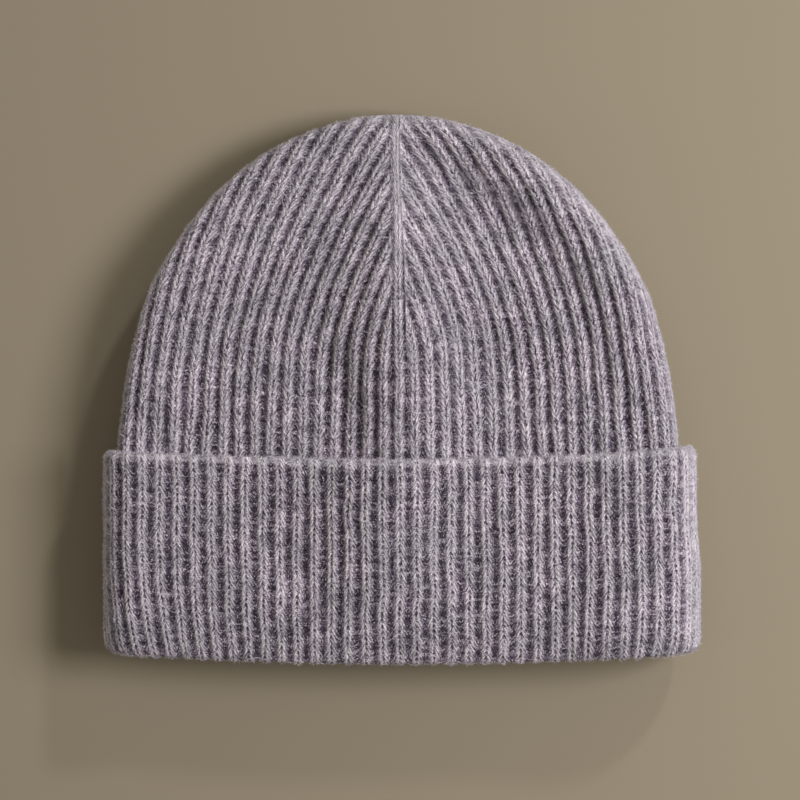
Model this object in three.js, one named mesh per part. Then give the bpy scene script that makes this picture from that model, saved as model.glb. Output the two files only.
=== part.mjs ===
// A ribbed wool beanie that lies flat on its back, with its cuff turned up.
// Millimetres. X runs across the hat, Y from the fold of the cuff to the tip, and Z up from the surface.
import * as THREE from "three";

// The knitting: one rib and one furrow, all round.
const ribCount = 76;
const wall = 4;
const ribDepth = 1.6;
const crestShare = 0.56; // of a rib's width, taken by its flat back
const gap = 0.3; // between the two layers of the cuff

// The crown as it lies.
const tipHeight = 102.6;
const tubeWidth = 208.6;
const decreaseStart = 14; // the height where ribs begin to run into the spines
const spineDrift = 0.0924; // how much rib width a front or back spine has taken in above that height
const spineDriftPower = 1.38;
const spineFan = 0.45; // ribs fan out towards a side spine by this share of what the other spines take in
const spineFanWidth = 85;
const spineWidth = 3.4;
const tipRounding = 10;

// The cuff as it lies.
const cuffWidth = 219.4;
const cuffThickness = 32;
const cuffBottom = -100.4;
const cuffTop = -25.2;
const weltHeight = 3.4;
const weltDepth = 0.5; // of the furrows in the cast-on edge
const weltStep = 1;
const edgeRounding = 0.9; // of the cast-on edge
const bandSwell = 0.4; // the band stands out this much halfway up
const foldSteps = 6;
const hemBow = 4.2; // the cuff's edges curve up this much from its middle to its sides
const hemBowFade = 45; // above the cuff the bow dies out over this height

// The front is domed a little more than the back, which the surface presses flat.
const frontSwell = 3;

const layer = wall + gap;
const foldRadius = (wall + layer) / 2;
const tubeBottom = cuffBottom + foldRadius + gap;

// The crown's outline, thickness and height off the surface.
const crownRows = [
  { height: tubeBottom, halfWidth: tubeWidth / 2, halfThickness: 11.7, lift: layer },
  { height: -24, halfWidth: 103.4, halfThickness: 11.7, lift: layer },
  { height: -5, halfWidth: 101.3, halfThickness: 12.6, lift: 2 },
  { height: 10, halfWidth: 98.9, halfThickness: 13, lift: 0.2 },
  { height: 24, halfWidth: 95.4, halfThickness: 13, lift: 0 },
  { height: 36, halfWidth: 91.6, halfThickness: 12.6, lift: 0 },
  { height: 48, halfWidth: 85.6, halfThickness: 12, lift: 0 },
  { height: 58, halfWidth: 79.4, halfThickness: 11.4, lift: 0 },
  { height: 67, halfWidth: 72.8, halfThickness: 10.8, lift: 0 },
  { height: 75, halfWidth: 65.5, halfThickness: 10.3, lift: 0 },
  { height: 82, halfWidth: 57.4, halfThickness: 9.8, lift: 0 },
  { height: 88, halfWidth: 49.2, halfThickness: 9.4, lift: 0 },
  { height: 93.5, halfWidth: 39, halfThickness: 9, lift: 0 },
  { height: 98, halfWidth: 27.4, halfThickness: 9, lift: 0 },
  { height: 101, halfWidth: 16, halfThickness: 9, lift: 0 },
  { height: tipHeight, halfWidth: 0, halfThickness: 9, lift: 0 },
];

// The crown's inner face ends below the tip by about the wall's thickness.
const innerTipHeight = tipHeight - wall - 1;
const innerHeights = [innerTipHeight, 95, 88, 75, 58, 36, 8, -24, tubeBottom];

const crownColour = new THREE.Color("#857c84");
const cuffColour = new THREE.Color("#80777f");

// Interpolates a column of a table at a height.
function column(rows, height, name) {
  const above = rows.findIndex((row) => row.height >= height);
  if (above === 0) return rows[0][name];
  if (above < 0) return rows.at(-1)[name];
  const low = rows[above - 1];
  const high = rows[above];
  return THREE.MathUtils.mapLinear(height, low.height, high.height, low[name], high[name]);
}

// The crown's size at a height, or its inner face's, which lies so far inside it and ends at its own tip.
function crownSize(height, inset = 0, tip = tipHeight) {
  const step = 0.5;
  const halfWidth = column(crownRows, height, "halfWidth");
  const slope = (column(crownRows, height - step, "halfWidth") - halfWidth) / step;
  const slant = Math.hypot(1, slope);
  const belowTip = Math.min(1, (tip - height) / (tipRounding - inset));
  const roundOff = Math.sqrt(1 - (1 - belowTip) ** 2);
  const halfThickness = column(crownRows, height, "halfThickness");
  return {
    halfWidth: belowTip > 0 ? halfWidth - inset * slant : 0,
    halfThickness: (halfThickness - inset) * roundOff,
    middle: column(crownRows, height, "lift") + halfThickness,
    swell: frontSwell * roundOff,
    slant,
  };
}

// A quarter of a flattened tube's section, from the middle of its front to the middle of its side.
function quarterSection({ halfWidth, halfThickness, slant = 1 }) {
  const edge = Math.min(halfWidth * 0.95, halfThickness * slant);
  const path = new THREE.Path();
  path.moveTo(0, halfThickness);
  path.lineTo(halfWidth - edge, halfThickness);
  path.absellipse(halfWidth - edge, 0, edge, halfThickness, Math.PI / 2, 0, true);
  return path;
}

// Where a place counted in ribs from the front spine lies: on which side, on which face, and how far from a spine.
function quarterOf(place) {
  const quarter = ribCount / 4;
  const turn = ((place % ribCount) + ribCount) % ribCount;
  const side = turn <= 2 * quarter ? 1 : -1;
  const face = turn <= quarter || turn >= 3 * quarter ? 1 : -1;
  const fromFront = Math.min(turn, ribCount - turn);
  return { side, face, ribs: face > 0 ? fromFront : 2 * quarter - fromFront };
}

// How far along the quarter section a rib's line lies, where all ribs are equally wide.
function evenRib(ribs, height, length) {
  return { along: (ribs * length) / (ribCount / 4), taken: false };
}

// The same on the crown, where the spines take ribs in above a height.
function crownRib(ribs, height, length) {
  const quarter = ribCount / 4;
  if (height <= decreaseStart) return evenRib(ribs, height, length);
  const half = Math.min(spineWidth / 2, length / 4);
  if (ribs <= 0.5) return { along: ribs * 2 * half, taken: false };
  if (ribs >= quarter - 0.5) return { along: length - (quarter - ribs) * 2 * half, taken: false };
  const ribWidth = quarterSection(crownSize(decreaseStart)).getLength() / quarter;
  const drift = spineDrift * (height - decreaseStart) ** spineDriftPower;
  const fan = Math.exp((spineFan * drift) / spineFanWidth);
  const free = ribs * ribWidth * fan - (spineFanWidth / spineFan) * (fan - 1);
  const along = THREE.MathUtils.clamp(free, half, length - half);
  return { along, taken: along !== free };
}

// The shared lie of both pieces: the front swells, and the hem bows up towards the sides.
function laid(x, height, z, { middle, halfThickness, swell }) {
  const share = halfThickness > 0 ? Math.max(0, (z - middle) / halfThickness) : 0;
  const across = Math.min(1, Math.abs(x) / (cuffWidth / 2));
  const bow = hemBow * THREE.MathUtils.clamp((cuffTop + hemBowFade - height) / hemBowFade, 0, 1);
  return new THREE.Vector3(x, height + bow * across ** 2, z + swell * share * (1 - across ** 2));
}

// One ring of points round the hat. A ribbed ring has two crest points and a furrow point for each rib, and a
// plain one has the furrow point alone. A furrow point is sunk by so much inward and upward.
function ring({ size, height, ribLine, inward = 0, upward = 0, plain = false }) {
  const section = quarterSection(size);
  const length = section.getLength();
  const offsets = plain ? [0.5] : [-crestShare / 2, crestShare / 2, 0.5];
  const points = [];
  for (let rib = 0; rib < ribCount; rib += 1) {
    for (const offset of offsets) {
      const { side, face, ribs } = quarterOf(rib + offset);
      const { along, taken } = ribLine(ribs, height, length);
      const share = length > 0 ? along / length : 0;
      const point = section.getPointAt(share);
      const tangent = section.getTangentAt(share);
      const sunk = offset === 0.5 || taken ? 1 : 0;
      const x = side * Math.max(0, point.x + tangent.y * sunk * inward);
      const z = size.middle + face * Math.max(0, point.y - tangent.x * sunk * inward);
      points.push(laid(x, height + sunk * upward, z, size));
    }
  }
  return points;
}

// One rib's points in a ring, from the furrow before it to the furrow after it.
function ribSpan(points, rib) {
  const perRib = points.length / ribCount;
  const first = rib * perRib;
  return [points.at(first - 1), ...points.slice(first, first + perRib)];
}

// Joins rings, in order, into one closed skin, rib by rib.
function skin(rings, closed) {
  const positions = [];
  const faces = [];
  const known = new Map();
  const vertex = (point) => {
    const key = point.toArray().map((value) => value.toFixed(3)).join(" ");
    if (!known.has(key)) {
      known.set(key, known.size);
      positions.push(...point.toArray());
    }
    return known.get(key);
  };
  const triangle = (...corners) => {
    const [a, b, c] = corners.map(vertex);
    if (a !== b && b !== c && c !== a) faces.push(a, b, c);
  };
  const strip = (low, high) => {
    let i = 0;
    let j = 0;
    while (i < low.length - 1 || j < high.length - 1) {
      const lowShare = (i + 1) / (low.length - 1);
      const highShare = (j + 1) / (high.length - 1);
      if (lowShare <= highShare) {
        triangle(low[i], low[i + 1], high[j]);
        i += 1;
      } else {
        triangle(low[i], high[j + 1], high[j]);
        j += 1;
      }
    }
  };
  const count = closed ? rings.length : rings.length - 1;
  for (let row = 0; row < count; row += 1) {
    const next = rings[(row + 1) % rings.length];
    for (let rib = 0; rib < ribCount; rib += 1) strip(ribSpan(rings[row], rib), ribSpan(next, rib));
  }
  const geometry = new THREE.BufferGeometry();
  geometry.setAttribute("position", new THREE.Float32BufferAttribute(positions, 3));
  geometry.setIndex(faces);
  geometry.computeVertexNormals();
  return geometry;
}

function crownGeometry() {
  const innerRing = (height) =>
    ring({ size: crownSize(height, wall, innerTipHeight), height, ribLine: crownRib, plain: true });
  const outerRing = ({ height }) =>
    ring({ size: crownSize(height), height, ribLine: crownRib, inward: height < tipHeight ? ribDepth : 0 });
  return skin([...innerHeights.map(innerRing), ...crownRows.map(outerRing)], false);
}

function cuffGeometry() {
  const foldRing = (step) => {
    const angle = (Math.PI * step) / foldSteps;
    return {
      height: cuffBottom + foldRadius * (1 - Math.sin(angle)),
      inset: foldRadius * (1 + Math.cos(angle)),
      inward: -ribDepth * Math.cos(angle),
      upward: ribDepth * Math.sin(angle),
    };
  };
  const steps = Array.from({ length: foldSteps }, (_, index) => index + 1);
  const profile = [
    { height: cuffBottom + foldRadius, inset: 2 * foldRadius, plain: true },
    ...steps.map(foldRing),
    { height: (cuffBottom + cuffTop) / 2, inset: -bandSwell, inward: ribDepth },
    { height: cuffTop - weltHeight - weltStep, inset: 0, inward: ribDepth },
    { height: cuffTop - weltHeight, inset: 0, inward: weltDepth },
    { height: cuffTop - edgeRounding, inset: 0, inward: weltDepth },
    { height: cuffTop, inset: edgeRounding, inward: weltDepth },
    { height: cuffTop, inset: wall - edgeRounding, plain: true },
    { height: cuffTop - edgeRounding, inset: wall, plain: true },
    { height: cuffBottom + foldRadius, inset: wall, plain: true },
  ];
  const rings = profile.map(({ inset, ...rest }) => {
    const size = {
      halfWidth: cuffWidth / 2 - inset,
      halfThickness: cuffThickness / 2 - Math.max(0, inset),
      middle: cuffThickness / 2,
      swell: frontSwell,
    };
    return ring({ size, ribLine: evenRib, ...rest });
  });
  return skin(rings, true);
}

function knitted(name, geometry, colour) {
  const material = new THREE.MeshStandardMaterial({ color: colour, roughness: 0.95, metalness: 0 });
  const mesh = new THREE.Mesh(geometry, material);
  mesh.name = name;
  return mesh;
}

const beanie = new THREE.Group();
beanie.add(knitted("crown", crownGeometry(), crownColour));
beanie.add(knitted("cuff", cuffGeometry(), cuffColour));

export default beanie;
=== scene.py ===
import bpy
import numpy as np
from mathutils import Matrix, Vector


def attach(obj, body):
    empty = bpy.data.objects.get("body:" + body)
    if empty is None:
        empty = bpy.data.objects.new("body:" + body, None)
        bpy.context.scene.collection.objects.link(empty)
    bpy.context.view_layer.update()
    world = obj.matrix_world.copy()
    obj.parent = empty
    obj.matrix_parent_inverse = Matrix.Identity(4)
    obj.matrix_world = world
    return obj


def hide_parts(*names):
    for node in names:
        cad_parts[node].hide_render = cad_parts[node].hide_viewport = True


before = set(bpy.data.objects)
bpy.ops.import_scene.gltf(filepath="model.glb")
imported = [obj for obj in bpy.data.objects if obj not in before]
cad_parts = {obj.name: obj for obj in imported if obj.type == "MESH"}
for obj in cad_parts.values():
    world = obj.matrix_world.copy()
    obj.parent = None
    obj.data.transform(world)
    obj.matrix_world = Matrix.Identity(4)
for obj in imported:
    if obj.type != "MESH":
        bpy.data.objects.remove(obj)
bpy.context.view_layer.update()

MM = 0.001
RIBS = 76
QUARTER = RIBS // 4
WALL = 4.0
GAP = 0.3
SEED = 41

# The crown as it lies, in millimetres, as in the solids.
CROWN_COLUMNS = ("height", "half_width", "half_thickness", "lift")
CROWN_ROWS = (
    (-95.95, 104.3, 11.7, 4.3),
    (-24, 103.4, 11.7, 4.3),
    (-5, 101.3, 12.6, 2),
    (10, 98.9, 13, 0.2),
    (24, 95.4, 13, 0),
    (36, 91.6, 12.6, 0),
    (48, 85.6, 12, 0),
    (58, 79.4, 11.4, 0),
    (67, 72.8, 10.8, 0),
    (75, 65.5, 10.3, 0),
    (82, 57.4, 9.8, 0),
    (88, 49.2, 9.4, 0),
    (93.5, 39, 9, 0),
    (98, 27.4, 9, 0),
    (101, 16, 9, 0),
    (102.6, 0, 9, 0),
)
CROWN_FOOT = CROWN_ROWS[0][0]
CROWN_TIP = CROWN_ROWS[-1][0]
TIP_ROUNDING = 10.0
SHOULDER_FULLNESS = 0.8
SHOULDER_HEIGHT = 36.0
SHOULDER_REACH = 32.0
INNER_TIP_DROP = WALL + 1
CROWN_SHIFT = -0.5
CROWN_BOXINESS = (4.2, 2.4)
DECREASE_START = 14.0
SPINE_DRIFT = 0.0924
SPINE_DRIFT_POWER = 1.38
SPINE_FAN = 0.45
SPINE_FAN_WIDTH = 85.0
SPINE_WIDTH = 3.4
SPINE_NARROWING = 62.0

# The cuff as it lies.
CUFF_WIDTH = 219.4
CUFF_THICKNESS = 32.0
CUFF_BOTTOM = -100.6
CUFF_TOP = -25.2
CUFF_BOXINESS = (2.3, 2.0)
CUFF_TOP_TAPER = 1.1
CUFF_CORNER = 6.5
CUFF_CORNER_DEPTH = 2.4
FOLD_RADIUS = WALL + GAP / 2
FOLD_BOXINESS = 2.7
BOTTOM_FLARE = 1.6
BOTTOM_FLARE_BAND = (-75, -45)

# The hem bows up towards its ends, and the ribs above its corners lean in, on the right and on the left.
HEM_BOW = 3.9
HEM_BOW_FADE = 45.0
EDGE_TILT = 0.22
EDGE_TILT_START = -70.0
HEM_LEAN = (1.5, 6.5)
HEM_LEAN_HEIGHT = -55.0
HEM_LEAN_START = 35.0

# The soft lie of the front. It swells, and sinks between the two distances from its outline in SAG_BAND.
FRONT_SWELL = 3.0
SPINE_LEAN = 1.1
SPINE_LEAN_REACH = 25
SPINE_LEAN_BAND = (45, 90)
SAG_CROWN = 3.4
SAG_CUFF = 2.4
SAG_BAND = (8, 26)
SAG_BAND_ON_LEFT = (4, 32)
SAG_START_ON_RIGHT = 11
SAG_MORE_ON_LEFT = 0.4
SAG_LESS_ON_CUFF_RIGHT = 1.25
ARC_DEPTH = 7.1
ARC_INWARD = 29
CREST_HEIGHT = (3.8, 6.4)
CREST_PLACE = (-8, -2)
HEM_SINK = 3.0
HEM_SINK_HEIGHTS = (-101, -88)

# Each soft hollow's depth, where its middle is at a height of 0 and how that moves with the height, its reach
# to the left and right, the height of its middle, and its reach down and up.
HOLLOWS = (
    (4.8, -24.2, -0.40, 18, 13, 3, 30, 30),
    (3.4, -40, 0, 26, 14, -52, 30, 30),
    (2.6, 24, 0, 12, 18, -46, 24, 24),
    (6.0, 35, -0.25, 16, 21, 14, 34, 34),
    (3.6, 10, 0, 9, 15, 82, 15, 15),
)

# How the stitches change at the welt, the rims, the fold and the spines. A filling is a share of their relief
# that is lost, a closing is a share of the furrow that the yarn covers, and a raise is in millimetres. Where
# a furrow closes, the wool paints less shade into it and paints the yarn lighter. The rims' closing, on the
# left and on the right, is larger on the right, where the key light falls, so there it is painted light.
WELT_HEIGHT = 3.0
WELT_CLOSING = 0.6
RIM_FILLING = 0.15
RIM_CLOSING_AND_PAINTED_LIGHT = (0.35, 0.65)
FOLD_FILLING = 0.85
SPINE_CLOSING = 0.45
SPINE_SPREAD = 0.45
SPINE_FILLING = 0.35
SPINE_RAISE = 0.3
SIDE_SPINE_FILLING = 0.3
SIDE_SPINE_RAISE = 0.2
SIDE_SPINE_VALLEY = 0.35

# Where the grid's columns stand across half a rib, as shares of the rib's width from its middle.
FINE_COLUMNS = (0.08, 0.17, 0.26, 0.34, 0.42, 0.5)
PLAIN_COLUMNS = (0.12, 0.26, 0.38, 0.5)
INNER_COLUMNS = (0.25, 0.5)

# How far apart the grid's rows stand on the outer faces, and how many the crown's inner face has.
CROWN_ROW_SPACING = 0.6
CUFF_ROW_SPACING = 0.48
INNER_ROWS = 48

# The yarn from its darkest shade to its lightest, as linear colours. Its darkest end also serves the shade
# painted into the furrows, holes, gaps and creases.
YARN_RAMP = (
    (0.0, (0.020, 0.011, 0.023)),
    (0.25, (0.138, 0.104, 0.149)),
    (0.5, (0.340, 0.302, 0.347)),
    (0.75, (0.545, 0.504, 0.544)),
    (1.0, (0.705, 0.664, 0.700)),
)
YARN_TINTS = ((0.975, 1.004, 0.996), (1.025, 0.996, 1.005))
FIBRE_DARK = (0.42, 0.375, 0.425)
FIBRE_LIGHT = (0.82, 0.77, 0.83)
BUMP_HEIGHT = 0.42

# Loose fibres, in millimetres. EDGE_FUZZ is how many more of them there are where the fabric stands upright.
FUZZ_RADIUS = (0.055, 0.10)
FUZZ_BURIED = 0.25
FUZZ_UPRIGHT_SHARE = 0.35
FUZZ_UPRIGHT_MORE_AT_EDGE = 0.4
EDGE_FUZZ = 24.0
BARE_ROWS = 9
FLOOR_CLEARANCE = 0.02


# Numbers

def smoothstep(low, high, value):
    share = np.clip((value - low) / (high - low), 0, 1)
    return share * share * (3 - 2 * share)


def blend(first, second, share):
    return first + (second - first) * share


def hump(value, middle, reach, reach_after=None):
    """A smooth bump, 1 at its middle, that may reach further after it than before it."""
    wide = reach if reach_after is None else np.where(value < middle, reach, reach_after)
    return np.exp(-(((value - middle) / wide) ** 2))


def unit(vectors):
    return vectors / np.maximum(np.linalg.norm(vectors, axis=-1, keepdims=True), 1e-9)


def column(name, at):
    """A column of the crown's table at these heights, on a smooth curve through its rows."""
    table = np.array(CROWN_ROWS, float)
    heights, values = table[:, 0], table[:, CROWN_COLUMNS.index(name)]
    at = np.clip(at, heights[0], heights[-1])
    squared = name == "half_width"
    if squared:
        values = values**2
    slopes = np.gradient(values, heights)
    row = np.clip(np.searchsorted(heights, at, "right") - 1, 0, len(heights) - 2)
    step = heights[row + 1] - heights[row]
    t = (at - heights[row]) / step
    curve = (
        (1 + 2 * t) * (1 - t) ** 2 * values[row]
        + t * (1 - t) ** 2 * step * slopes[row]
        + t * t * (3 - 2 * t) * values[row + 1]
        + t * t * (t - 1) * step * slopes[row + 1]
    )
    return np.sqrt(np.maximum(curve, 0)) if squared else curve


def value_noise(x, y, seed):
    """Smooth random values from -1 to 1 with features about one unit across."""
    lattice = np.random.default_rng(seed).uniform(-1, 1, (256, 256))
    column_index, row_index = np.floor(x).astype(int), np.floor(y).astype(int)
    tx, ty = x - column_index, y - row_index
    tx, ty = tx * tx * (3 - 2 * tx), ty * ty * (3 - 2 * ty)

    def corner(right, up):
        return lattice[(column_index + right) % 256, (row_index + up) % 256]

    low = corner(0, 0) * (1 - tx) + corner(1, 0) * tx
    high = corner(0, 1) * (1 - tx) + corner(1, 1) * tx
    return low * (1 - ty) + high * ty


# The plain form under the stitches

FLAT_SAMPLES = 24
BEND_SAMPLES = 40


def quarter_section(half_width, half_thickness, slant, boxiness):
    """Points from the middle of a flattened tube's front to the middle of its side, the share of the way at
    each, and the length. A boxiness of 2 bends round the side on an ellipse, and more is closer to a box."""
    edge = min(half_width * 0.95, half_thickness * slant)
    flat = np.linspace(0, half_width - edge, FLAT_SAMPLES, endpoint=False)
    turn = np.linspace(0, np.pi / 2, BEND_SAMPLES)
    bend_x = edge * np.sin(turn) ** (2 / boxiness)
    bend_z = half_thickness * np.cos(turn).clip(0) ** (2 / boxiness)
    x = np.concatenate([flat, half_width - edge + bend_x])
    z = np.concatenate([np.full(FLAT_SAMPLES, half_thickness), bend_z])
    length = np.concatenate([[0], np.cumsum(np.hypot(np.diff(x), np.diff(z)))])
    return x, z, length / max(length[-1], 1e-9), length[-1]


def section(half_width, half_thickness, slant, boxiness):
    """Points round a flattened tube from the middle of its front, the ring place of each, in quarters, and
    the length of a right and of a left quarter. boxiness is that of the left and of the right side."""
    left, right = boxiness
    x, z, share, length = quarter_section(half_width, half_thickness, slant, right)
    left_x, left_z, left_share, left_length = quarter_section(half_width, half_thickness, slant, left)
    back = slice(-2, None, -1)
    place = np.concatenate([share, 2 - share[back], 2 + left_share[1:], 4 - left_share[back]])
    across = np.concatenate([x, x[back], -left_x[1:], -left_x[back]])
    up = np.concatenate([z, -z[back], -left_z[1:], left_z[back]])
    return place, across, up, (length, left_length)


def sag(x, y, inward):
    """How far the front sinks inside its outline, which it does earlier and deeper on the left."""
    on_left = 1 - smoothstep(-80, -40, x)
    on_right = smoothstep(40, 80, x)
    on_cuff_right = smoothstep(50, 85, x) * (1 - smoothstep(-32, -12, y))
    depth = blend(SAG_CUFF, SAG_CROWN, smoothstep(-60, -10, y))
    depth = depth * (1 - SAG_LESS_ON_CUFF_RIGHT * on_cuff_right + SAG_MORE_ON_LEFT * on_left)
    start = blend(SAG_BAND[0], SAG_BAND_ON_LEFT[0], on_left) + (SAG_START_ON_RIGHT - SAG_BAND[0]) * on_right
    end = blend(SAG_BAND[1], SAG_BAND_ON_LEFT[1], on_left)
    return depth * smoothstep(start, end, inward)


def drape(x, y, inward):
    """Soft hollows and ridges of the front, in millimetres. inward is the distance from the outline."""
    crest = blend(*CREST_PLACE, smoothstep(-45, -15, y))
    ridge = blend(*CREST_HEIGHT, smoothstep(-45, -5, y)) * hump(x, crest, 15, 22)
    ridge = ridge * smoothstep(-98, -60, y) * (1 - smoothstep(55, 98, y))
    arc = ARC_DEPTH * hump(inward, ARC_INWARD, 10, 27) * hump(x, 32, 21, 44) * hump(y, 64, 58, 40)
    hem = HEM_SINK * (1 - smoothstep(*HEM_SINK_HEIGHTS, y))
    raised = ridge - sag(x, y, inward) - arc - hem
    for depth, middle, lean, reach_left, reach_right, height, reach_down, reach_up in HOLLOWS:
        across = hump(x, middle + lean * y, reach_left, reach_right)
        raised = raised - depth * across * hump(y, height, reach_down, reach_up)
    return raised


def laid(across, height, up, half_width, half_thickness, slant, middle, swell, shift):
    """The shared lie: the front swells and folds softly, and the hem bows up towards the sides."""
    share = np.maximum(0, up / max(half_thickness, 1e-9))
    side = across / (CUFF_WIDTH / 2)
    out = np.minimum(1, np.abs(side)) ** 2
    bow = HEM_BOW * np.clip((CUFF_TOP + HEM_BOW_FADE - height) / HEM_BOW_FADE, 0, 1)
    bow = bow * (1 + EDGE_TILT * side * smoothstep(EDGE_TILT_START, CUFF_TOP, height))
    reach = blend(CUFF_WIDTH / 2, half_width, smoothstep(CUFF_TOP, CUFF_TOP + 25, height))
    inward = np.minimum((reach - np.abs(across)) / slant, CROWN_TIP - height)
    flare = BOTTOM_FLARE * np.clip(side, 0, 1) ** 2 * (1 - smoothstep(*BOTTOM_FLARE_BAND, height))
    lean = -SPINE_LEAN * hump(across, 0, SPINE_LEAN_REACH) * smoothstep(*SPINE_LEAN_BAND, height) * share
    x = across + shift + flare + lean
    y = height + bow * out
    z = middle + up + (swell * (1 - out) + drape(x, y, inward)) * share
    return np.stack([x, y, z], axis=-1)


class Form:
    """A plain tube as rings of sample points with their normals and ring places."""

    def __init__(self, rings, boxiness, shift=0.0):
        points, places, lengths = [], [], []
        for height, half_width, half_thickness, slant, middle, swell in rings:
            place, across, up, length = section(half_width, half_thickness, slant, boxiness)
            points.append(laid(across, height, up, half_width, half_thickness, slant, middle, swell, shift))
            places.append(place)
            lengths.append(length)
        self.points = np.array(points)
        self.places = np.array(places)
        self.side_lengths = np.array(lengths)
        self.lengths = self.side_lengths.mean(axis=1)
        wrapped = np.concatenate([self.points[:, -2:-1], self.points, self.points[:, 1:2]], axis=1)
        along = wrapped[:, 2:] - wrapped[:, :-2]
        upward = np.gradient(self.points, axis=0)
        self.normals = unit(np.cross(along, upward))

    def at(self, places):
        """Points and unit normals at these ring places, one row of places for each ring."""
        points = np.empty(places.shape + (3,))
        normals = np.empty(places.shape + (3,))
        for row, wanted in enumerate(places):
            for axis in range(3):
                points[row, :, axis] = np.interp(wanted, self.places[row], self.points[row, :, axis])
                normals[row, :, axis] = np.interp(wanted, self.places[row], self.normals[row, :, axis])
        return points, unit(normals)


def crown_rings(heights, inset=0.0, tip=CROWN_TIP):
    """What Form needs for the crown at these heights, or for its inner face so far inside it."""
    step = 0.05
    half_width = column("half_width", heights)
    slope = (column("half_width", heights - step) - half_width) / step
    slant = np.hypot(1, slope)
    half_width = half_width + SHOULDER_FULLNESS * hump(heights, SHOULDER_HEIGHT, SHOULDER_REACH)
    below_tip = np.clip((tip - heights) / (TIP_ROUNDING - inset), 0, 1)
    round_off = np.sqrt(1 - (1 - below_tip) ** 2)
    half_thickness = column("half_thickness", heights)
    middle = column("lift", heights) + half_thickness
    narrowed = np.maximum(half_width - inset * slant, 0.01)
    thinned = np.maximum((half_thickness - inset) * round_off, 0.01)
    return list(zip(heights, narrowed, thinned, slant, middle, FRONT_SWELL * round_off))


# The knitting's lines

def rib_columns(first, last, offsets):
    """The columns between two furrows, counted in ribs from the front spine."""
    shares = np.concatenate([-np.array(offsets)[::-1], [0], offsets[:-1]])
    ribs = np.arange(first, last)
    return np.concatenate([(ribs[:, None] + shares[None, :]).ravel(), [last - 0.5]])


def quarter_of(columns):
    """For each column: how many ribs it lies from its front or back spine, and how a share of the quarter
    section becomes a ring place, as start + way * share."""
    turn = columns % RIBS
    quarter = np.minimum(turn // QUARTER, 3).astype(int)
    ribs = np.choose(quarter, [turn, 2 * QUARTER - turn, turn - 2 * QUARTER, RIBS - turn])
    start = np.array([0, 2, 2, 4])[quarter]
    way = np.array([1, -1, 1, -1])[quarter]
    return ribs, start, way


def crown_lines(columns, heights, lengths):
    """Where each column lies along the quarter section at each height, in millimetres, how far it is from
    the spine that takes it in, which is 0 or less once it has been taken, and what runs into the front spine
    at that height, from 0 for a rib's back to 1 for a furrow."""
    ribs = quarter_of(columns)[0][None, :]
    length = lengths[:, None]
    height = heights[:, None]
    start_length = np.interp(DECREASE_START, heights, lengths)
    pitch = np.where(height <= DECREASE_START, length, start_length) / QUARTER
    risen = np.maximum(height - DECREASE_START, 0)
    drift = SPINE_DRIFT * risen**SPINE_DRIFT_POWER
    fan = np.exp(SPINE_FAN * drift / SPINE_FAN_WIDTH)
    free = ribs * pitch * fan - SPINE_FAN_WIDTH / SPINE_FAN * (fan - 1)
    narrowing = smoothstep(0, SPINE_NARROWING, risen)
    half = (1 - narrowing) * pitch / 2 + narrowing * SPINE_WIDTH / 2
    half = np.minimum(half, length / 4)
    on_spine = ribs <= 0.5 + 1e-9
    on_side = ribs >= QUARTER - 0.5 - 1e-9
    room = np.minimum(free - half, length - half - free)
    along = np.clip(free, half, length - half)
    along = np.where(on_spine, ribs * 2 * half, along)
    along = np.where(on_side, length - (QUARTER - ribs) * 2 * half, along)
    room = np.where(on_spine | on_side, np.inf, room)
    meeting = (half + SPINE_FAN_WIDTH / SPINE_FAN * (fan - 1)) / (pitch * fan)
    return along, room, 2 * np.abs(meeting - np.round(meeting))


class Knit:
    """One way the fabric shows its stitches, in millimetres. A rib is pitch wide and depth high, a stitch is
    course long, leg_depth is the dent between two legs, crease the one along a rib's middle, and bar the
    height of the yarn across a furrow. half and crease_width are shares of the pitch, and leg_rise is how
    many stitches a leg rises over a rib's width."""

    def __init__(self, pitch, course, depth, half, leg_rise, leg_depth, crease, crease_width, bar):
        self.pitch = pitch
        self.course = course
        self.depth = depth
        self.half = half
        self.leg_rise = leg_rise
        self.leg_depth = leg_depth
        self.crease = crease
        self.crease_width = crease_width
        self.bar = bar
        self.leg_slant = float(np.arctan2(pitch, leg_rise * course))

    def lines(self, columns, course, seed):
        """The ribs and courses of each point, with the small wanderings of hand-soft yarn."""
        rib = np.round(columns)[None, :] + np.zeros_like(course)
        courses = course + 0.35 * value_noise(rib * 0.71, course / 5, seed)
        ribs = columns[None, :] + 0.07 * value_noise(rib * 0.63 + 17, course / 4.5, seed + 1)
        return rib, ribs, courses

    def relief(self, rib, ribs, courses, seed, narrower=1.0):
        """The height of the stitches over the furrow's floor, less the rib's full depth."""
        offset = ribs - rib
        across = np.abs(offset)
        leg = courses - self.leg_rise * across + LEG_STAGGER * np.sign(offset)
        phase = leg - np.floor(leg)
        gap = np.abs(2 * phase - 1) ** 2.5
        uneven = value_noise(rib * 1.7 + np.sign(offset) * 9, np.floor(leg) * 0.83, seed + 2)
        reach = self.half * narrower * (1 + 0.10 * (1 - 2 * gap) + 0.08 * uneven)
        body = np.sqrt(np.clip(1 - (across / reach) ** 2.1, 0, 1))
        crease = self.crease * np.exp(-((across / self.crease_width) ** 2))
        knit = self.depth * body * (1 + 0.08 * uneven) - self.leg_depth * gap * body - crease * body
        bars = 0.5 + 0.5 * np.cos(2 * np.pi * (courses - 0.3))
        closing = 0.75 + 0.55 * value_noise(rib * 0.9 + 5 * np.sign(offset), courses * 1.1, seed + 3)
        return np.maximum(knit, self.bar * bars * np.maximum(closing, 0)) - self.depth


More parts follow.
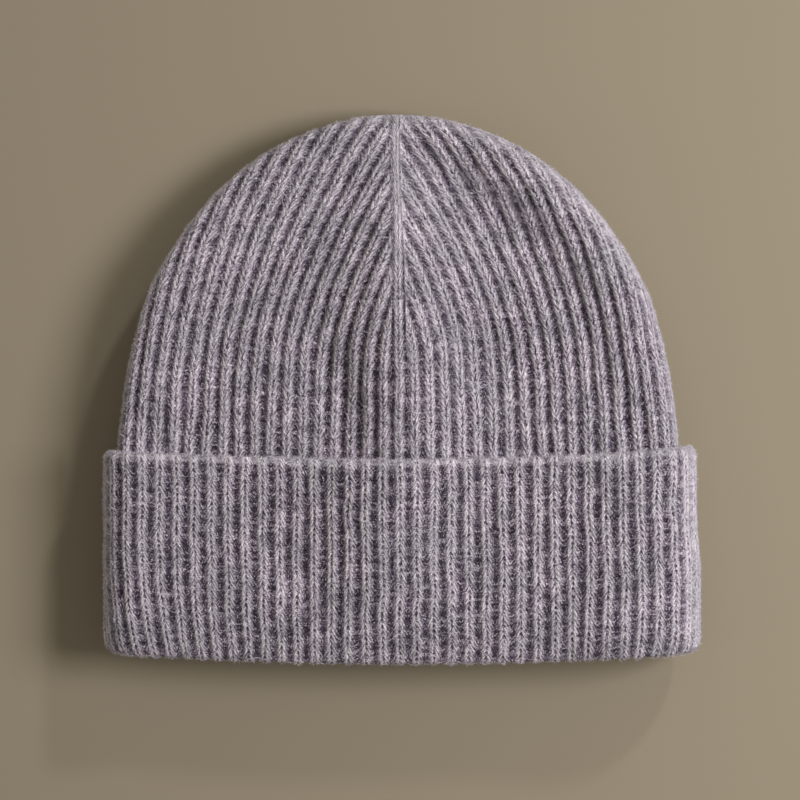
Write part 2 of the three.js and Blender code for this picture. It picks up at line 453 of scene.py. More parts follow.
LEG_STAGGER = 0.12
CROWN_KNIT = Knit(
    pitch=5.6,
    course=2.75,
    depth=1.7,
    half=0.37,
    leg_rise=4.6,
    leg_depth=0.35,
    crease=0.2,
    crease_width=0.07,
    bar=0.6,
)
CUFF_KNIT = Knit(
    pitch=6.26,
    course=2.07,
    depth=1.4,
    half=0.34,
    leg_rise=-5.6,
    leg_depth=0.45,
    crease=0.5,
    crease_width=0.075,
    bar=0.5,
)


# Meshes

def quads_of(index):
    """The corners of each cell in a grid of vertex ids."""
    return np.stack([index[:-1, :-1], index[:-1, 1:], index[1:, 1:], index[1:, :-1]], axis=-1).reshape(-1, 4)


def grid_faces(taken_to):
    """Faces of a grid of points as (corner rows of vertex ids, corner rows of grid places), split into quads
    and triangles. taken_to gives the grid place that stands for each one."""
    corners = quads_of(np.arange(taken_to.size).reshape(taken_to.shape))
    ids = taken_to.ravel()[corners]
    same = ids == np.roll(ids, -1, axis=1)
    count = same.sum(axis=1)
    quads = count == 0
    triangles = count == 1
    drop = np.argmax(same[triangles], axis=1)
    keep = np.array([[1, 2, 3], [0, 2, 3], [0, 1, 3], [0, 1, 2]])[drop]
    picked = np.arange(len(keep))[:, None]
    return (ids[quads], corners[quads]), (ids[triangles][picked, keep], corners[triangles][picked, keep])


def bridge(low, high):
    """Triangles between two lines of vertex ids, where low runs to the right with high above it."""
    faces = []
    i = j = 0
    while i < len(low) - 1 or j < len(high) - 1:
        if (i + 1) * (len(high) - 1) <= (j + 1) * (len(low) - 1):
            faces.append((low[i], low[i + 1], high[j]))
            i += 1
        else:
            faces.append((low[i], high[j + 1], high[j]))
            j += 1
    return [face for face in faces if len(set(face)) == 3]


def make_mesh(name, points, polygons, uvs, closed):
    """A smooth mesh from points in millimetres and lists of (vertex ids, rows of uv) for each polygon size.
    closed says how far the furrow has filled up at each point, from 0 to 1, or is wider, from 0 to -1.
    Where it is high the wool paints less furrow shade and paints the yarn lighter."""
    ids = np.concatenate([p[0].ravel() for p in polygons])
    used, loops = np.unique(ids, return_inverse=True)
    corner_uvs = np.concatenate([uvs[p[1].ravel()] for p in polygons])
    sizes = np.concatenate([np.full(len(p[0]), p[0].shape[1]) for p in polygons])
    mesh = bpy.data.meshes.new(name)
    mesh.vertices.add(len(used))
    mesh.vertices.foreach_set("co", (points[used] * MM).astype(np.float32).ravel())
    mesh.loops.add(len(loops))
    mesh.loops.foreach_set("vertex_index", loops.astype(np.int32).ravel())
    mesh.polygons.add(len(sizes))
    mesh.polygons.foreach_set("loop_start", np.concatenate([[0], np.cumsum(sizes)[:-1]]).astype(np.int32))
    mesh.polygons.foreach_set("use_smooth", np.ones(len(sizes), bool))
    layer = mesh.uv_layers.new(name="knit")
    layer.data.foreach_set("uv", corner_uvs.astype(np.float32).ravel())
    attribute = mesh.attributes.new("closed", "FLOAT", "POINT")
    attribute.data.foreach_set("value", closed[used].astype(np.float32))
    mesh.update(calc_edges=True)
    mesh.validate()
    return mesh


def shell(name, outer, inner):
    """One closed piece from an outer and an inner grid of points, which face away from each other and end in
    a tip each. A grid is a dict of points, taken_to, uvs and closed."""
    offset = outer["taken_to"].size
    points = np.concatenate([outer["points"].reshape(-1, 3), inner["points"].reshape(-1, 3)])
    uvs = np.concatenate([outer["uvs"].reshape(-1, 2), inner["uvs"].reshape(-1, 2)])
    closed = np.concatenate([outer["closed"].ravel(), inner["closed"].ravel()])
    polygons = list(grid_faces(outer["taken_to"]))
    for ids, places in grid_faces(inner["taken_to"]):
        polygons.append((ids[:, ::-1] + offset, places[:, ::-1] + offset))
    outer_ids = outer["taken_to"]
    inner_ids = inner["taken_to"] + offset
    joins = bridge(inner_ids[0], outer_ids[0])
    joins += bridge(outer_ids[:, 0][::-1], inner_ids[:, 0][::-1])
    joins += bridge(outer_ids[:, -1], inner_ids[:, -1])
    joins = np.array(joins)
    polygons.append((joins, joins))
    polygons = [p for p in polygons if len(p[0])]
    return make_mesh(name, points, polygons, uvs, closed)


def crown_levels(low, high):
    """Heights from low to high, evenly spaced over the surface of the crown's front."""
    tries = np.linspace(low, high, 4000)
    tries = np.concatenate([tries, high - 0.02 * np.linspace(1, 0, 50)[:-1] ** 2])
    tries = np.unique(np.clip(tries, low, high))
    top = np.array([thick + middle + swell for _, _, thick, _, middle, swell in crown_rings(tries)])
    length = np.concatenate([[0], np.cumsum(np.hypot(np.diff(tries), np.diff(top)))])
    count = int(length[-1] / CROWN_ROW_SPACING) + 1
    return np.interp(np.linspace(0, length[-1], count), length, tries)


def crown_base(columns, heights, inset=0.0, tip=CROWN_TIP):
    """The plain crown over these columns and heights, with what its knitting needs to know at each point."""
    form = Form(crown_rings(heights, inset, tip), CROWN_BOXINESS, CROWN_SHIFT)
    ribs, start, way = quarter_of(columns)
    along, room, furrow_meets = crown_lines(columns, heights, form.lengths)
    points, normals = form.at(start[None, :] + way[None, :] * (along / form.lengths[:, None]))
    index = np.arange(room.size).reshape(room.shape)
    to_side = along > form.lengths[:, None] / 2
    edge = np.where(to_side, spine_edges(columns, QUARTER - 0.5)[None, :], spine_edges(columns, 0.5)[None, :])
    taken_to = np.where(room <= 0, np.take_along_axis(index, edge, axis=1), index)
    taken_to[-1] = index[-1, 0]
    steps = np.linalg.norm(np.diff(points, axis=0), axis=-1)
    course = np.concatenate([np.zeros((1, len(columns))), np.cumsum(steps, axis=0)]) / CROWN_KNIT.course
    return {
        "points": points,
        "normals": normals,
        "taken_to": taken_to,
        "course": course,
        "ribs": ribs[None, :],
        "room": room,
        "to_side": to_side,
        "furrow_meets": furrow_meets,
    }


def inner_crown(columns, heights):
    """The crown's inner face, with shallow ribs."""
    base = crown_base(columns, heights, WALL, heights[-1])
    relief = 0.4 * (np.cos(2 * np.pi * columns)[None, :] - 1) * (base["room"] > 0)
    relief = relief * smoothstep(0, 8, heights[-1] - heights)[:, None]
    uvs = np.stack([columns[None, :] + np.zeros_like(relief), base["course"]], axis=-1)
    points = base["points"] - base["normals"] * relief[..., None]
    return {"points": points, "taken_to": base["taken_to"], "uvs": uvs, "closed": np.zeros_like(relief)}


def outer_crown(columns, heights):
    """The crown's outer face, knitted, with its ribs taken in at the spines."""
    base = crown_base(columns, heights)
    normals, course, ribs = base["normals"], base["course"], base["ribs"]
    room, to_side, furrow_meets = base["room"], base["to_side"], base["furrow_meets"]
    rib, rib_lines, course_lines = CROWN_KNIT.lines(columns, course, SEED)

    # Low down the furrows are wider, and higher up the ribs narrow onto the spines.
    low = 1 - smoothstep(-5, 60, heights)[:, None]
    narrowing = smoothstep(0, SPINE_NARROWING, heights - DECREASE_START)[:, None]
    on_spine = (ribs <= 0.5 + 1e-9) * narrowing
    by_side = (1 - smoothstep(0.6, 2.4, QUARTER - ribs)) * narrowing
    near_tip = smoothstep(0, 3, heights[-1] - heights)[:, None]
    relief = CROWN_KNIT.relief(rib, rib_lines, course_lines, SEED, 1 - 0.1 * low + SPINE_SPREAD * on_spine)

    # Beside a spine each rib fades into a valley, which yarn that has slipped over it breaks up. Left of the
    # front spine it is wider.
    left = (columns < 0)[None, :] * smoothstep(25, 45, heights)[:, None]
    fade = smoothstep(0, 1.6 + 1.6 * left, np.where(np.isinf(room), 9, room))
    slipped = 0.5 + 0.5 * value_noise(course * 0.9, 3.5 + 2 * np.sign(columns)[None, :], SEED + 7)
    valley = blend((0.1 + 0.6 * furrow_meets) * (0.9 - 0.45 * narrowing), 0.5, left)
    valley = valley * (0.45 + 0.9 * (1 - slipped))
    valley = np.where(to_side, SIDE_SPINE_VALLEY, valley) * CROWN_KNIT.depth
    beside_spine = (np.abs(ribs - 0.5) < 1e-6) & (narrowing > 0)
    relief = np.where(beside_spine, -valley, relief * fade - valley * (1 - fade))
    relief = relief * (1 - SPINE_FILLING * on_spine) + SPINE_RAISE * on_spine
    relief = relief * (1 - SIDE_SPINE_FILLING * by_side) + SIDE_SPINE_RAISE * by_side
    relief = relief * (1 - RIM_FILLING * rim_share(normals)) * near_tip
    points = base["points"] + normals * relief[..., None]
    points[..., 2] = np.maximum(points[..., 2], FLOOR_CLEARANCE)

    # The furrows close where ribs merge with a spine, on the spines, at the tip and at the rims, and there
    # the wool paints less furrow shade and a lighter yarn.
    # Left of the front spine, the side away from the key light, the furrows close less, so more painted shade
    # stays in the valley there.
    merging = blend(1 - 0.7 * furrow_meets, 0.2, left) * np.where(beside_spine, 1, 1 - fade)
    merging = np.where(beside_spine, np.maximum(merging, 0.15 + 0.8 * slipped), merging)
    merging = np.where(to_side, SPINE_CLOSING * (1 - fade), merging)
    closed = np.maximum(np.maximum(SPINE_CLOSING * on_spine, SPINE_CLOSING * by_side), merging)
    closed = np.maximum(np.maximum(closed, 1 - near_tip), rim_closing_and_painted_light(normals)) - low
    uvs = np.stack([rib_lines, course_lines], axis=-1)
    return {"points": points, "taken_to": base["taken_to"], "uvs": uvs, "closed": closed, "normals": normals}


def rim_share(normals):
    """How far the fabric has turned down towards the outline, where its ribs spread, from 0 to 1."""
    turned = smoothstep(0.12, 0.6, 1 - np.abs(normals[..., 2]))
    return turned * (1 - smoothstep(0.2, 0.6, -normals[..., 1]))


def rim_closing_and_painted_light(normals):
    """How far the furrows fill up as the ribs spread towards the outline, and so how far the wool's painted
    furrow shade gives way to painted light. It is more on the right, because the key light falls there.
    """
    on_right = smoothstep(-0.3, 0.3, normals[..., 0])
    turned = smoothstep(0.12 - 0.09 * on_right, 0.6 - 0.15 * on_right, 1 - np.abs(normals[..., 2]))
    most = blend(*RIM_CLOSING_AND_PAINTED_LIGHT, on_right)
    seen_from_above = 0.35 + 0.65 * smoothstep(0.1, 0.45, np.abs(normals[..., 2]))
    return turned * most * seen_from_above * (1 - smoothstep(0.2, 0.6, -normals[..., 1]))


def spine_edges(columns, ribs_from_spine):
    """For each column, the index of the one at that distance from the spine in the same quarter."""
    quarter = np.floor(columns / QUARTER)
    even = quarter % 2 == 0
    edge = np.where(even, quarter * QUARTER + ribs_from_spine, (quarter + 1) * QUARTER - ribs_from_spine)
    return np.argmin(np.abs(columns[None, :] - edge[:, None]), axis=1)


def crown_piece(name, first, last, offsets):
    """The crown between two furrows."""
    seen_from = CUFF_TOP - 8
    hidden = np.linspace(CROWN_FOOT, seen_from, 8)[:-1]
    shown = crown_levels(seen_from, CROWN_TIP)
    outer = outer_crown(rib_columns(first, last, offsets), np.concatenate([hidden, shown]))
    rising = np.sin(np.linspace(0, 1, INNER_ROWS) * np.pi / 2)
    inner_heights = CROWN_FOOT + (CROWN_TIP - INNER_TIP_DROP - CROWN_FOOT) * rising
    inner = inner_crown(rib_columns(first, last, INNER_COLUMNS), inner_heights)
    return shell(name, outer, inner), outer


def cuff_profile():
    """The height and the inset of each row of the cuff's face, from the fold's inner end round the fold, up
    the outside and over the cast-on edge to the foot of its inner face."""
    rows = []
    for angle in np.linspace(0, np.pi, int(np.pi * FOLD_RADIUS / CUFF_ROW_SPACING)):
        down = max(0.0, np.sin(angle)) ** (2 / FOLD_BOXINESS)
        outward = -np.sign(np.cos(angle)) * abs(np.cos(angle)) ** (2 / FOLD_BOXINESS)
        rows.append((CUFF_BOTTOM + FOLD_RADIUS * (1 - down), FOLD_RADIUS * (1 - outward)))
    wall_low = CUFF_BOTTOM + FOLD_RADIUS
    wall_high = CUFF_TOP - WALL / 2
    rows += [(height, 0.0) for height in np.arange(wall_low + CUFF_ROW_SPACING, wall_high, CUFF_ROW_SPACING)]
    for angle in np.linspace(0, np.pi, int(np.pi * WALL / 2 / CUFF_ROW_SPACING)):
        rows.append((wall_high + WALL / 2 * np.sin(angle), WALL / 2 * (1 - np.cos(angle))))
    rows += [(height, WALL) for height in np.linspace(wall_high, wall_low, 9)[1:]]
    return np.array(rows).T


def cuff_shares(columns, ribs, heights, side_lengths, flats):
    """How far round its quarter each column stands on each ring, as a share of the quarter's length. On the
    flat part the ribs run straight over all the rings, and only in the bend do they close up where a ring is
    short. Above the hem's corners they lean in on the front and out on the back, most on the left."""
    side = (columns % RIBS >= RIBS / 2).astype(int)
    here = side_lengths[:, side]
    flat = flats[:, None]
    full = here.max(axis=0)[None, :]
    along = ribs[None, :] / QUARTER * full
    low = np.clip((HEM_LEAN_HEIGHT - heights) / (HEM_LEAN_HEIGHT - CUFF_BOTTOM), 0, 1)[:, None] ** 2
    outer = np.clip((along - HEM_LEAN_START) / (full - HEM_LEAN_START), 0, 1)
    lean = np.array(HEM_LEAN)[side] * low * outer
    on_back = np.abs(columns % RIBS - RIBS / 2) < QUARTER
    along = along + np.where(on_back, lean, -lean)
    in_bend = flat + (along - flat) * (here - flat) / (full - flat)
    return np.where(along < flat, along, in_bend) / here


def cuff_piece(name, first, last, offsets):
    """The cuff between two furrows."""
    columns = rib_columns(first, last, offsets)
    heights, insets = cuff_profile()
    over_fold = np.clip(1 - (heights - CUFF_BOTTOM) / CUFF_CORNER, 0, 1)
    taper = CUFF_CORNER_DEPTH * (1 - np.sqrt(1 - over_fold**2))
    taper = taper + CUFF_TOP_TAPER * smoothstep(CUFF_TOP - 4, CUFF_TOP, heights)
    half_widths = CUFF_WIDTH / 2 - insets - taper
    half_thicknesses = CUFF_THICKNESS / 2 - insets
    rings = [
        (height, half_width, half_thickness, 1.0, CUFF_THICKNESS / 2, FRONT_SWELL)
        for height, half_width, half_thickness in zip(heights, half_widths, half_thicknesses)
    ]
    form = Form(rings, CUFF_BOXINESS)
    ribs, start, way = quarter_of(columns)
    share = cuff_shares(columns, ribs, heights, form.side_lengths, half_widths - half_thicknesses)
    points, normals = form.at(start[None, :] + way[None, :] * share)

    # The stitches give way to a plain welt at the cast-on edge and run out at the fold's inner end.
    travelled = np.concatenate([[0], np.cumsum(np.hypot(np.diff(heights), np.diff(insets)))])
    course = np.repeat((travelled / CUFF_KNIT.course)[:, None], len(columns), axis=1)
    rib, rib_lines, course_lines = CUFF_KNIT.lines(columns, course, SEED + 10)
    relief = CUFF_KNIT.relief(rib, rib_lines, course_lines, SEED + 10)
    from_end = smoothstep(0, 3, travelled)[:, None]
    below_edge = np.where(insets < WALL / 2, CUFF_TOP - heights, 0)[:, None]
    ribbed = smoothstep(WELT_HEIGHT * 0.6, WELT_HEIGHT * 1.3, below_edge) * from_end
    inside = smoothstep(WALL * 0.5, WALL * 0.9, insets) * (travelled > travelled[-1] * 0.6)
    rim = rim_share(normals)
    welt = 0.4 * (np.cos(2 * np.pi * columns)[None, :] - 1)
    welt = welt + 0.3 * value_noise(columns[None, :] * 2.3, course * 1.5, SEED + 14)
    welt = welt * (1 - inside)[:, None] * from_end * (1 - 0.6 * rim)
    relief = relief * (1 - RIM_FILLING * rim) * (1 - FOLD_FILLING * np.maximum(0, -normals[..., 1]))
    points = points + normals * blend(welt, relief, ribbed)[..., None]
    points[..., 2] = np.maximum(points[..., 2], FLOOR_CLEARANCE)

    index = np.arange(course.size).reshape(course.shape)
    polygons = [quads_of(np.concatenate([index, index[:1]]))]
    polygons += [cap(index[:, 0], heights)[:, ::-1], cap(index[:, -1], heights)]
    polygons = [(faces, faces) for faces in polygons]
    uvs = np.stack([rib_lines, course_lines], axis=-1)
    # The welt and the rims close the furrows, so the wool paints less shade and a lighter yarn there.
    closed = np.maximum(WELT_CLOSING * (1 - ribbed) * (1 - inside)[:, None], rim_closing_and_painted_light(normals))
    mesh = make_mesh(name, points.reshape(-1, 3), polygons, uvs.reshape(-1, 2), closed.ravel())
    return mesh, {"points": points, "normals": normals, "uvs": uvs}


def cap(line, heights):
    """Triangles that close the cuff's section at one end: its outer face against its inner face."""
    top = int(np.argmax(heights))
    rising = line[: top + 1]
    falling = line[top:][::-1]
    return np.array(bridge(falling, rising))


# Wool

class Tree:
    """Short names for the nodes of one material."""

    def __init__(self, name):
        self.material = bpy.data.materials.new(name)
        self.material.use_nodes = True
        self.nodes = self.material.node_tree.nodes
        self.links = self.material.node_tree.links
        self.shader = self.nodes["Principled BSDF"]

    def surface(self, **values):
        """Plain values on the shader's sockets, named with _ for a space."""
        for name, value in values.items():
            self.shader.inputs[name.replace("_", " ")].default_value = value

    def put(self, value, socket):
        if isinstance(value, (int, float)):
            socket.default_value = value
        elif isinstance(value, tuple):
            socket.default_value = (*value, 1)
        else:
            self.links.new(value, socket)

    def new(self, kind, *values):
        """A node of this kind with these values or links on its first sockets."""
        node = self.nodes.new("ShaderNode" + kind)
        for value, socket in zip(values, node.inputs):
            self.put(value, socket)
        return node

    def math(self, operation, *values):
        node = self.new("Math", *values)
        node.operation = operation
        return node.outputs[0]

    def times(self, first, second):
        return self.math("MULTIPLY", first, second)

    def less(self, first, second):
        return self.math("SUBTRACT", first, second)

    def weighted(self, start, *pairs):
        """start plus each value times its share."""
        total = start
        for value, share in pairs:
            total = self.math("MULTIPLY_ADD", value, share, total)
        return total

    def combine(self, x, y, z):
        return self.new("CombineXYZ", x, y, z).outputs[0]

    def noise(self, vector, scale=1.0, roughness=0.6, distortion=0.0, detail=2.0):
        node = self.new("TexNoise", vector)
        node.inputs["Scale"].default_value = scale
        node.inputs["Detail"].default_value = detail
        node.inputs["Roughness"].default_value = roughness
        node.inputs["Distortion"].default_value = distortion
        return node.outputs["Fac"]

    def white(self, vector):
        return self.new("TexWhiteNoise", vector).outputs["Value"]

    def spread(self, value, low, high, to_low=0.0, to_high=1.0, smooth=False):
        """value from low to high, spread over the second range and held at its ends."""
        node = self.new("MapRange", value)
        node.interpolation_type = "SMOOTHSTEP" if smooth else "LINEAR"
        for name, number in (("From Min", low), ("From Max", high), ("To Min", to_low), ("To Max", to_high)):
            node.inputs[name].default_value = number
        return node.outputs["Result"]

    def mix(self, share, first, second, mode="MIX"):
        node = self.new("Mix")
        node.data_type = "RGBA"
        node.blend_type = mode
        factor = [socket for socket in node.inputs if socket.name == "Factor"][0]
        colours = [socket for socket in node.inputs if socket.type == "RGBA"]
        self.put(share, factor)
        self.put(first, colours[0])
        self.put(second, colours[1])
        return [socket for socket in node.outputs if socket.type == "RGBA"][0]

    def knit_uv(self):
        node = self.new("UVMap")
        node.uv_map = "knit"
        return node.outputs[0]


class StitchTree(Tree):
    """The nodes of a knitted material, with the place of each point in its rib and in its stitch."""

    def __init__(self, name, knit):
        super().__init__(name)
        split = self.new("SeparateXYZ", self.knit_uv())
        self.ribs, self.courses = split.outputs[0], split.outputs[1]
        self.rib = self.math("FLOOR", self.math("ADD", self.ribs, 0.5))
        self.offset = self.less(self.ribs, self.rib)
        self.across = self.math("ABSOLUTE", self.offset)
        self.side = self.math("SIGN", self.offset)
        self.leg = self.weighted(self.courses, (self.across, -knit.leg_rise), (self.side, LEG_STAGGER))
        self.leg_number = self.math("FLOOR", self.leg)
        self.phase = self.less(self.leg, self.leg_number)

        # Millimetres over the fabric, and along and across a leg.
        x = self.times(self.across, knit.pitch)
        y = self.times(self.courses, knit.course)
        self.place = self.combine(self.times(self.ribs, knit.pitch), y, 0.0)
        slant = knit.leg_slant if knit.leg_rise > 0 else knit.leg_slant - float(np.pi)
        sin, cos = float(np.sin(slant)), float(np.cos(slant))
        self.along = self.weighted(0.0, (x, sin), (y, cos))
        self.beside = self.weighted(0.0, (x, cos), (y, -sin))

    def fibres(self, across_scale, along_scale, distortion):
        """Noise drawn out along the legs of the stitches."""
        x = self.times(self.beside, across_scale)
        y = self.times(self.along, along_scale)
        strand = self.weighted(0.0, (self.rib, 7.31), (self.side, 3.7))
        return self.noise(self.combine(x, y, strand), distortion=distortion)

    def closing(self):
        """How far the furrows have filled up, from 0 to 1, and how much wider they are, from 0 to -1."""
        attribute = self.new("Attribute")
        attribute.attribute_name = "closed"
        value = attribute.outputs["Fac"]
        return self.math("MAXIMUM", value, 0.0), self.math("MINIMUM", value, 0.0)

    def gap(self):
        """How far a point lies between two legs, deeper in some places than in others."""
        gap = self.math("ABSOLUTE", self.weighted(-1.0, (self.phase, 2.0)))
        uneven = self.spread(self.noise(self.place, 0.4), 0.36, 0.64, 0.35, 1.25)
        return self.times(self.math("POWER", gap, 2.2), uneven)

    def crease(self, width, grain):
        """The line along a rib's middle, which wanders, comes and goes, and is a dot at each stitch."""
        wandering = self.math("ABSOLUTE", self.weighted(-0.025, (self.offset, 1.0), (grain, 0.05)))
        middle = self.spread(wandering, 0.0, width, 1.0, 0.0, smooth=True)
        turn = self.weighted(self.courses, (self.noise(self.place, 0.5, 0.5), 0.8))
        dots = self.spread(self.math("COSINE", self.times(turn, 2 * float(np.pi))), -1.0, 0.6, 0.15, 1.0)
        loose_place = self.combine(self.times(self.rib, 2.3), self.times(self.courses, 0.45), 4.0)
        loose = self.spread(self.noise(loose_place, roughness=0.7), 0.36, 0.62, 0.1, 1.5)
        return self.times(self.times(middle, dots), loose)

    def ramp(self, value, steps):
        """The colour at this value on a ramp of (position, colour) steps."""
        node = self.new("ValToRGB", value)
        elements = node.color_ramp.elements
        elements.remove(elements[0])
        elements[0].position = steps[0][0]
        for position, _ in steps[1:]:
            elements.new(position)
        for element, (_, colour) in zip(elements, steps):
            element.color = (*colour, 1)
        return node.outputs[0]


def wool(name, knit, furrow_start, gap_shade, crease_shade, hole_shade, lightness):
    """Marled wool whose fibres follow the legs of the stitches, with shade and light painted into its colour.
    """
    tree = StitchTree(name, knit)
    tree.surface(Roughness=0.95, Specular_IOR_Level=0.12, Sheen_Weight=0.2, Sheen_Roughness=0.5)

    broad = tree.spread(tree.fibres(1.1, 0.40, 0.9), 0.37, 0.63)
    fine = tree.spread(tree.fibres(1.9, 0.85, 1.2), 0.40, 0.60)
    grain = tree.spread(tree.noise(tree.place, 1.2, distortion=0.5), 0.41, 0.59)

    # Each leg is a little lighter or darker, and the yarn changes slowly along a rib.
    leg_tone = tree.white(tree.combine(tree.rib, tree.leg_number, tree.side))
    side_place = tree.times(tree.side, 5.0)
    marl_place = tree.combine(tree.times(tree.rib, 3.1), tree.times(tree.leg, 0.35), side_place)
    marl = tree.spread(tree.noise(marl_place), 0.3, 0.7)
    # A painted highlight along the middle of each strand, where its round top faces the light.
    painted_strand_highlight = tree.math("ABSOLUTE", tree.less(tree.across, knit.half * 0.48))
    painted_strand_highlight = tree.spread(painted_strand_highlight, 0.0, 0.13, 0.16, 0.0, smooth=True)

    # Painted shade between legs, along the middle of a rib and in the furrows, but less where the furrows
    # fill up.
    filled, opened = tree.closing()
    open_share = tree.less(1.0, filled)
    kept_share = tree.spread(open_share, 0.0, 1.0, 0.55, 1.0)
    gap = tree.times(tree.gap(), kept_share)
    crease = tree.times(tree.crease(knit.crease_width * 1.4, grain), kept_share)
    ragged = tree.weighted(-0.23, (tree.across, 1.0), (fine, 0.30), (grain, 0.16), (opened, -0.04))
    furrow = tree.spread(ragged, furrow_start, furrow_start + 0.11, smooth=True)
    furrow = tree.times(furrow, open_share)

    # What each pattern adds to the yarn's tone, to the furrow's tone and to the height of the surface. The
    # gap and crease shares are painted shade, and the furrow's tone is painted furrow shade with darker
    # painted hole shadows.
    tone = tree.weighted(
        lightness - 0.07,
        (broad, 0.33),
        (fine, 0.34),
        (grain, 0.23),
        (leg_tone, 0.13),
        (marl, 0.14),
        (painted_strand_highlight, 1.0),
        # Where the furrows fill up, the yarn is painted lighter: painted light on the welt, the spines, the
        # tip and the rims.
        (filled, 0.20),
        (gap, -gap_shade),
        (crease, -crease_shade),
    )
    # Painted shadows in the holes of the furrows, deeper in some places than in others.
    hole_shadow_place = tree.combine(tree.times(tree.math("FLOOR", tree.ribs), 3.7), tree.courses, 2.0)
    hole_shadows = tree.spread(tree.noise(hole_shadow_place, roughness=0.7, distortion=0.6), 0.40, 0.60)
    painted_furrow_shade_tone = tree.weighted(-0.30, (grain, 0.70), (fine, 0.35), (hole_shadows, -hole_shade))
    dent = -3.5 * gap_shade
    height = tree.weighted(0.0, (broad, 0.6), (fine, 0.5), (grain, 0.5), (gap, dent), (crease, -0.8))
    lit = tree.weighted(0.0, (tone, tree.less(1.0, furrow)), (painted_furrow_shade_tone, furrow))
    yarn = tree.ramp(lit, YARN_RAMP)

    # The yarn drifts between two tints and between dark and light over the whole hat.
    slow = tree.noise(tree.new("TexCoord").outputs["Object"], 75.0, detail=3.0)
    tint = tree.mix(tree.spread(slow, 0.36, 0.64), YARN_TINTS[0], YARN_TINTS[1])
    cloud = tree.spread(slow, 0.33, 0.67, 0.81, 1.20)
    tinted = tree.mix(1.0, yarn, tint, "MULTIPLY")
    clouded = tree.mix(1.0, tinted, tree.combine(cloud, cloud, cloud), "MULTIPLY")
    tree.links.new(clouded, tree.shader.inputs["Base Color"])

    bump = tree.new("Bump")
    bump.inputs["Strength"].default_value = 1.0
    bump.inputs["Distance"].default_value = BUMP_HEIGHT * MM
    tree.links.new(height, bump.inputs["Height"])
    tree.links.new(bump.outputs[0], tree.shader.inputs["Normal"])
    return tree.material


def fibre_wool(name):
    """Loose fibres, each of one tone."""
    tree = Tree(name)
    tree.surface(Roughness=0.9, Specular_IOR_Level=0.12)
    tone = tree.white(tree.knit_uv())
    tree.links.new(tree.mix(tone, FIBRE_DARK, FIBRE_LIGHT), tree.shader.inputs["Base Color"])
    return tree.material


def plain_material(name, colour, roughness):
    tree = Tree(name)
    tree.surface(Base_Color=(*colour, 1), Roughness=roughness, Specular_IOR_Level=0.2)
    return tree.material


def growing(grid, lowest):
    """Where loose fibres grow: above this height, and neither on points that a spine has taken in nor on the
    last rows, which are the crown's tip or the cuff's inner face."""
    grows = grid["points"][..., 1] > lowest
    if "taken_to" in grid:
        grows &= grid["taken_to"] == np.arange(grows.size).reshape(grows.shape)
    grows[-BARE_ROWS:] = False
    return grows


def fuzz_piece(name, grid, knit, count, lowest):
    """Loose fibres that stand off the surface: thin closed spindles with one bend."""
    draw = np.random.default_rng(SEED + count)
    points, normals = grid["points"], grid["normals"]
    up = unit(np.gradient(points, axis=0)).reshape(-1, 3)
    right = unit(np.gradient(points, axis=1)).reshape(-1, 3)
    edge_weight = EDGE_FUZZ * (1 - np.abs(normals[..., 2])) ** 2 * (1 - 0.8 * np.maximum(0, -normals[..., 1]))
    weight = np.where(growing(grid, lowest), 1 + edge_weight, 0).ravel()
    picked = draw.choice(weight.size, count, p=weight / weight.sum())
    roots = points.reshape(-1, 3)[picked]
    normals = normals.reshape(-1, 3)[picked]
    uvs = grid["uvs"].reshape(-1, 2)[picked]
    offset = uvs[:, 0] - np.round(uvs[:, 0])
    turn = knit.leg_slant * np.sign(offset) + draw.normal(0, 0.6, count) + np.pi * draw.integers(0, 2, count)
    direction = up[picked] * np.cos(turn)[:, None] + right[picked] * np.sin(turn)[:, None]
    at_edge = 1 - np.abs(normals[:, 2])
    upright = draw.random(count) < FUZZ_UPRIGHT_SHARE + FUZZ_UPRIGHT_MORE_AT_EDGE * at_edge
    lift = np.where(upright, draw.uniform(0.6, 1.4, count), draw.uniform(0.1, 0.5, count))[:, None]
    short = draw.uniform(0.7, 2.0, count)
    long = draw.gamma(4.0, 0.5, count).clip(0.8, 4.0) * (1 - 0.5 * at_edge)
    length = np.where(upright, short, long)[:, None]
    first = unit(direction + normals * lift)
    bend = draw.normal(0, 0.45, (count, 3))
    second = unit(first + bend + normals * draw.uniform(-0.6, 0.1, (count, 1)))
    root = roots - normals * FUZZ_BURIED
    knee = root + first * length * 0.5
    tip = knee + second * length * 0.5
    thickness = draw.uniform(*FUZZ_RADIUS, (count, 1)) * (1 - 0.3 * at_edge[:, None])
    u = unit(np.cross(first, normals + 0.01))
    v = np.cross(first, u)
    turns = np.arange(3) * 2 * np.pi / 3
    ring = [knee + (np.cos(angle) * u + np.sin(angle) * v) * thickness for angle in turns]
    vertices = np.stack([root, *ring, tip], axis=1)
    vertices[..., 2] = np.maximum(vertices[..., 2], FUZZ_RADIUS[0])
    pattern = np.array([(0, 2, 1), (0, 3, 2), (0, 1, 3), (1, 2, 4), (2, 3, 4), (3, 1, 4)])
    faces = (pattern[None] + 5 * np.arange(count)[:, None, None]).reshape(-1, 3)
    vertices = vertices.reshape(-1, 3)
    return make_mesh(name, vertices, [(faces, faces)], np.repeat(uvs, 5, axis=0), np.zeros(len(vertices)))


# The pieces

def add_piece(mesh, material, node):
    piece = bpy.data.objects.new(mesh.name, mesh)
    bpy.context.scene.collection.objects.link(piece)
    mesh.materials.append(material)
    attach(piece, "root")
    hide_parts(node)


crown_wool = wool(
    "crown wool",
    CROWN_KNIT,
    furrow_start=0.32,
    gap_shade=0.26,
    crease_shade=0.35,
    hole_shade=0.41,
    lightness=0.052,
)
cuff_wool = wool(
    "cuff wool",
    CUFF_KNIT,
    furrow_start=0.27,
    gap_shade=0.27,
    crease_shade=0.44,
    hole_shade=0.54,
    lightness=0.075,
)
loose_wool = fibre_wool("loose fibres")

